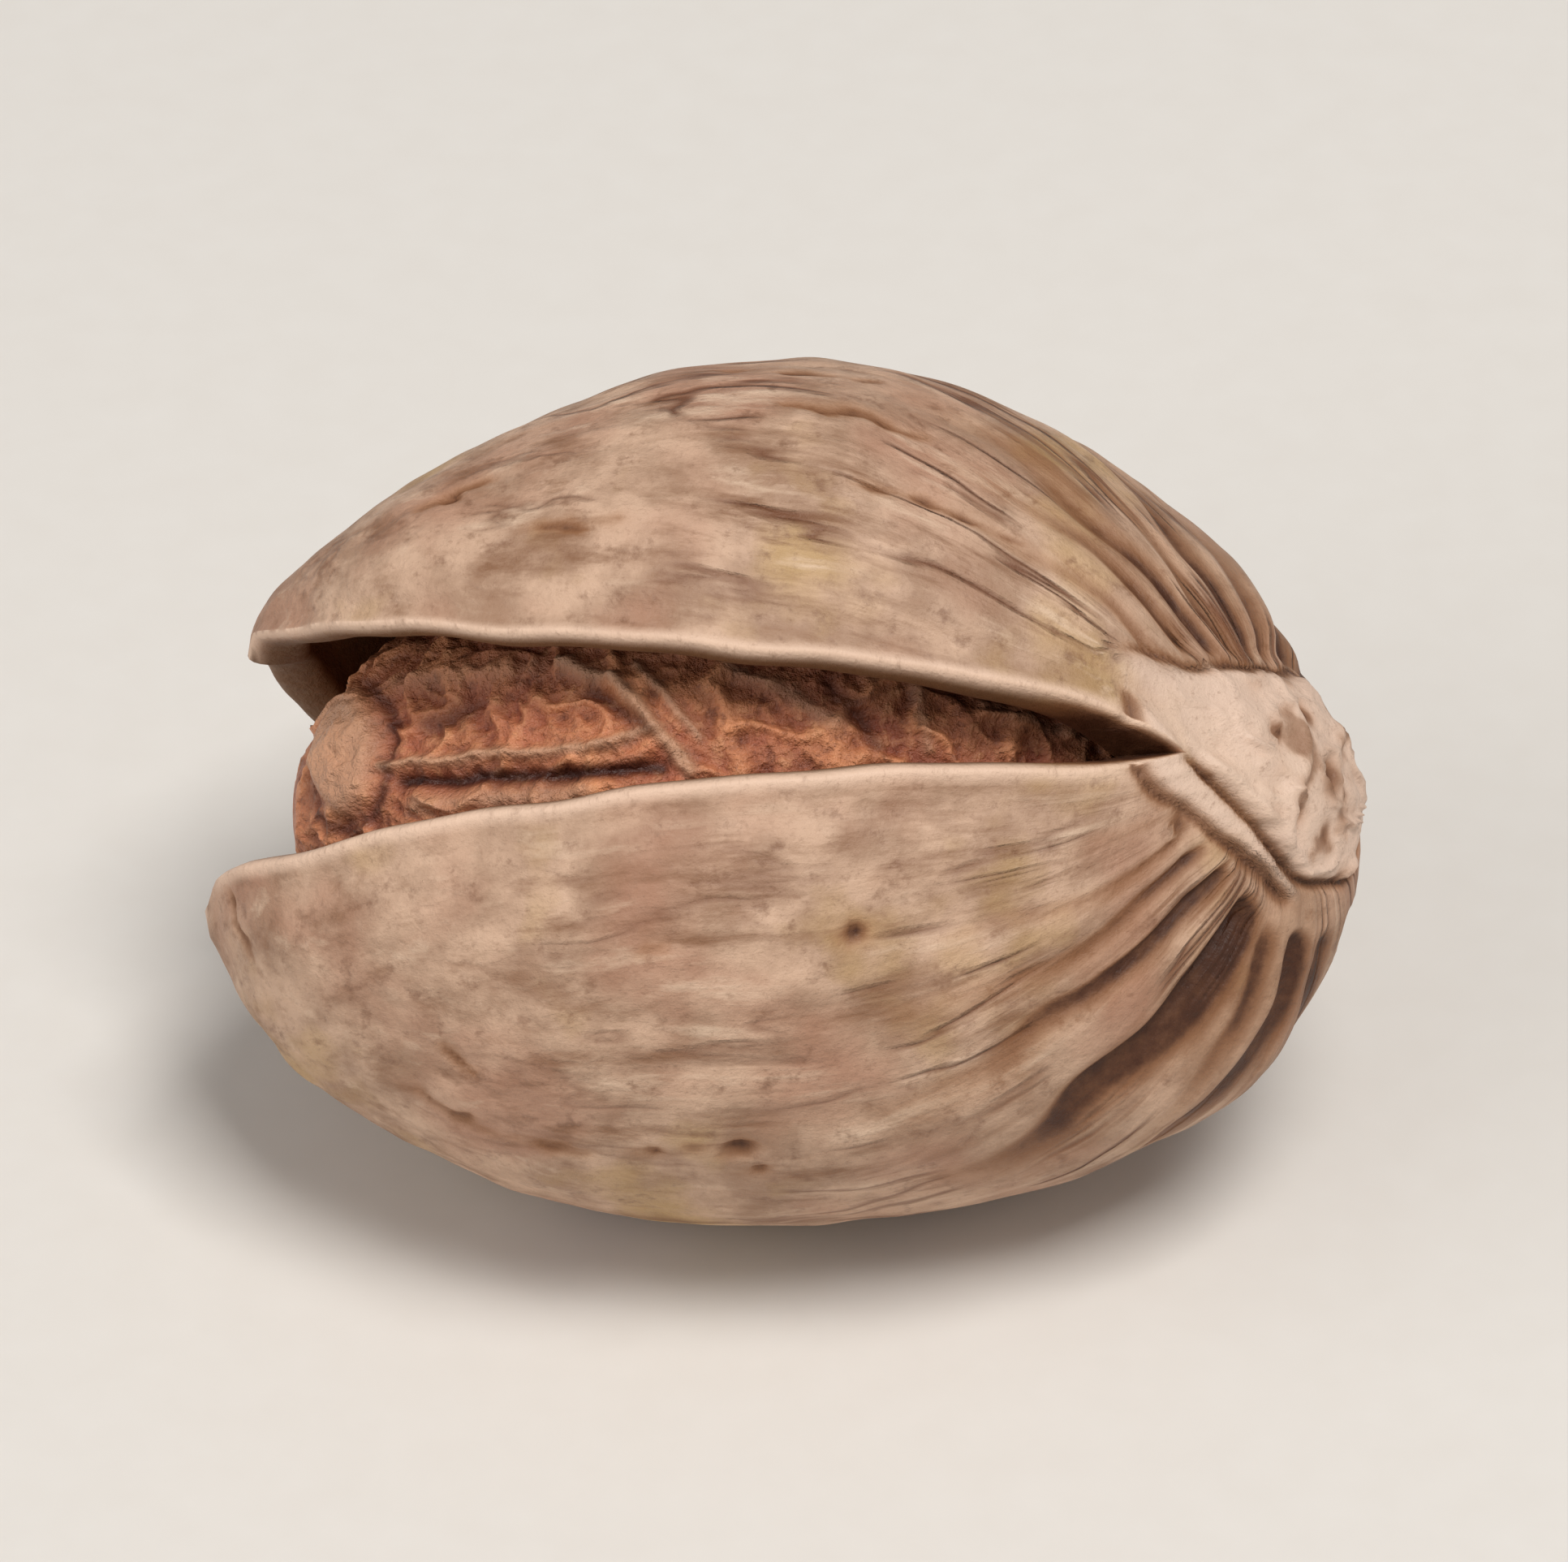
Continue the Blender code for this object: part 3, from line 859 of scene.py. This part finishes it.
def floor_finish():
    """Matt card, off-white. Its tooth is too fine to show, and is drawn as a faint mottle 1 mm across."""
    material, tree, shader = new_material("matt_card")
    place = node(tree, "ShaderNodeTexCoord", output="Object")
    tooth = node(tree, "ShaderNodeTexNoise", {"Vector": place, "Scale": 1 / MM, "Detail": 2.0})
    painted = laid_over(tree, colour("#dedad4"), (("#e2dfda", tooth, 0.0, 1.0, 1.0),))
    tree.links.new(painted, shader.inputs["Base Color"])
    shader.inputs["Roughness"].default_value = 0.9
    return material


# ---- Floor, light and camera ----

NUT_MIDDLE = Vector((0, 0, 0.007))


def add_floor():
    mesh = bpy.data.meshes.new("floor")
    half = 1.5
    corners = [(-half, -half, 0), (half, -half, 0), (half, half, 0), (-half, half, 0)]
    mesh.from_pydata(corners, [], [(0, 1, 2, 3)])
    floor = bpy.data.objects.new("floor", mesh)
    bpy.context.scene.collection.objects.link(floor)
    mesh.materials.append(floor_finish())


def add_softbox(name, place, size, watts, tint):
    """A square soft light aimed at the nut."""
    lamp = bpy.data.lights.new(name, "AREA")
    lamp.size = size
    lamp.energy = watts
    lamp.color = tint
    box = bpy.data.objects.new(name, lamp)
    box.location = place
    box.rotation_euler = (NUT_MIDDLE - Vector(place)).to_track_quat("-Z", "Y").to_euler()
    box.visible_camera = False
    bpy.context.scene.collection.objects.link(box)


def add_world():
    world = bpy.data.worlds.new("studio")
    world.use_nodes = True
    background = world.node_tree.nodes["Background"]
    background.inputs["Color"].default_value = (0.90, 0.89, 0.88, 1)
    background.inputs["Strength"].default_value = 0.28
    bpy.context.scene.world = world


def add_camera():
    camera = bpy.data.cameras.new("camera")
    camera.lens = 200
    camera.sensor_width = 36
    camera.clip_start = 0.01
    camera.clip_end = 10
    holder = bpy.data.objects.new("camera", camera)
    elevation = math.radians(40)
    target = Vector((0.0, 0.0, 0.0072))
    distance = 0.152
    back = Vector((0, -math.cos(elevation), math.sin(elevation)))
    holder.location = target + back * distance
    holder.rotation_euler = (-back).to_track_quat("-Z", "Y").to_euler()
    bpy.context.scene.collection.objects.link(holder)
    bpy.context.scene.camera = holder


def nut_place():
    """Where the nut's middle goes, so that its shell fills the frame's box, and the height of the floor."""
    steps = 60
    share = row_shares(steps)
    turn = np.linspace(0, math.pi, steps + 1)[None, :]
    points = []
    for valve in (UPPER, LOWER):
        face = closed_face(share, turn, valve)
        face[..., 1] += valve * half_gape(share, turn)
        points.append(laid(face).reshape(-1, 3))
    points = np.concatenate(points)
    low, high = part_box("shell")
    place = (np.array(low) + np.array(high)) / 2 - (points.min(0) + points.max(0)) / 2
    place[2] = low.z - points[:, 2].min() - FLAT_SPOT_DEPTH * MM
    return place, low.z


def main():
    place, floor = nut_place()
    shell = build_shell(place, floor)
    shell.data.materials.append(shell_finish())
    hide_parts("shell")
    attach(shell, "root")
    kernel = build_kernel(place)
    kernel.data.materials.append(kernel_finish())
    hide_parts("kernel")
    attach(kernel, "root")

    add_floor()
    add_softbox("key", place=(0.10, -0.14, 0.43), size=0.18, watts=1.65, tint=(1.0, 0.97, 0.94))
    add_softbox("fill", place=(-0.36, -0.18, 0.22), size=0.40, watts=0.70, tint=(1.0, 0.98, 0.96))
    add_world()
    add_camera()
    bpy.context.scene.view_settings.view_transform = "Standard"


main()
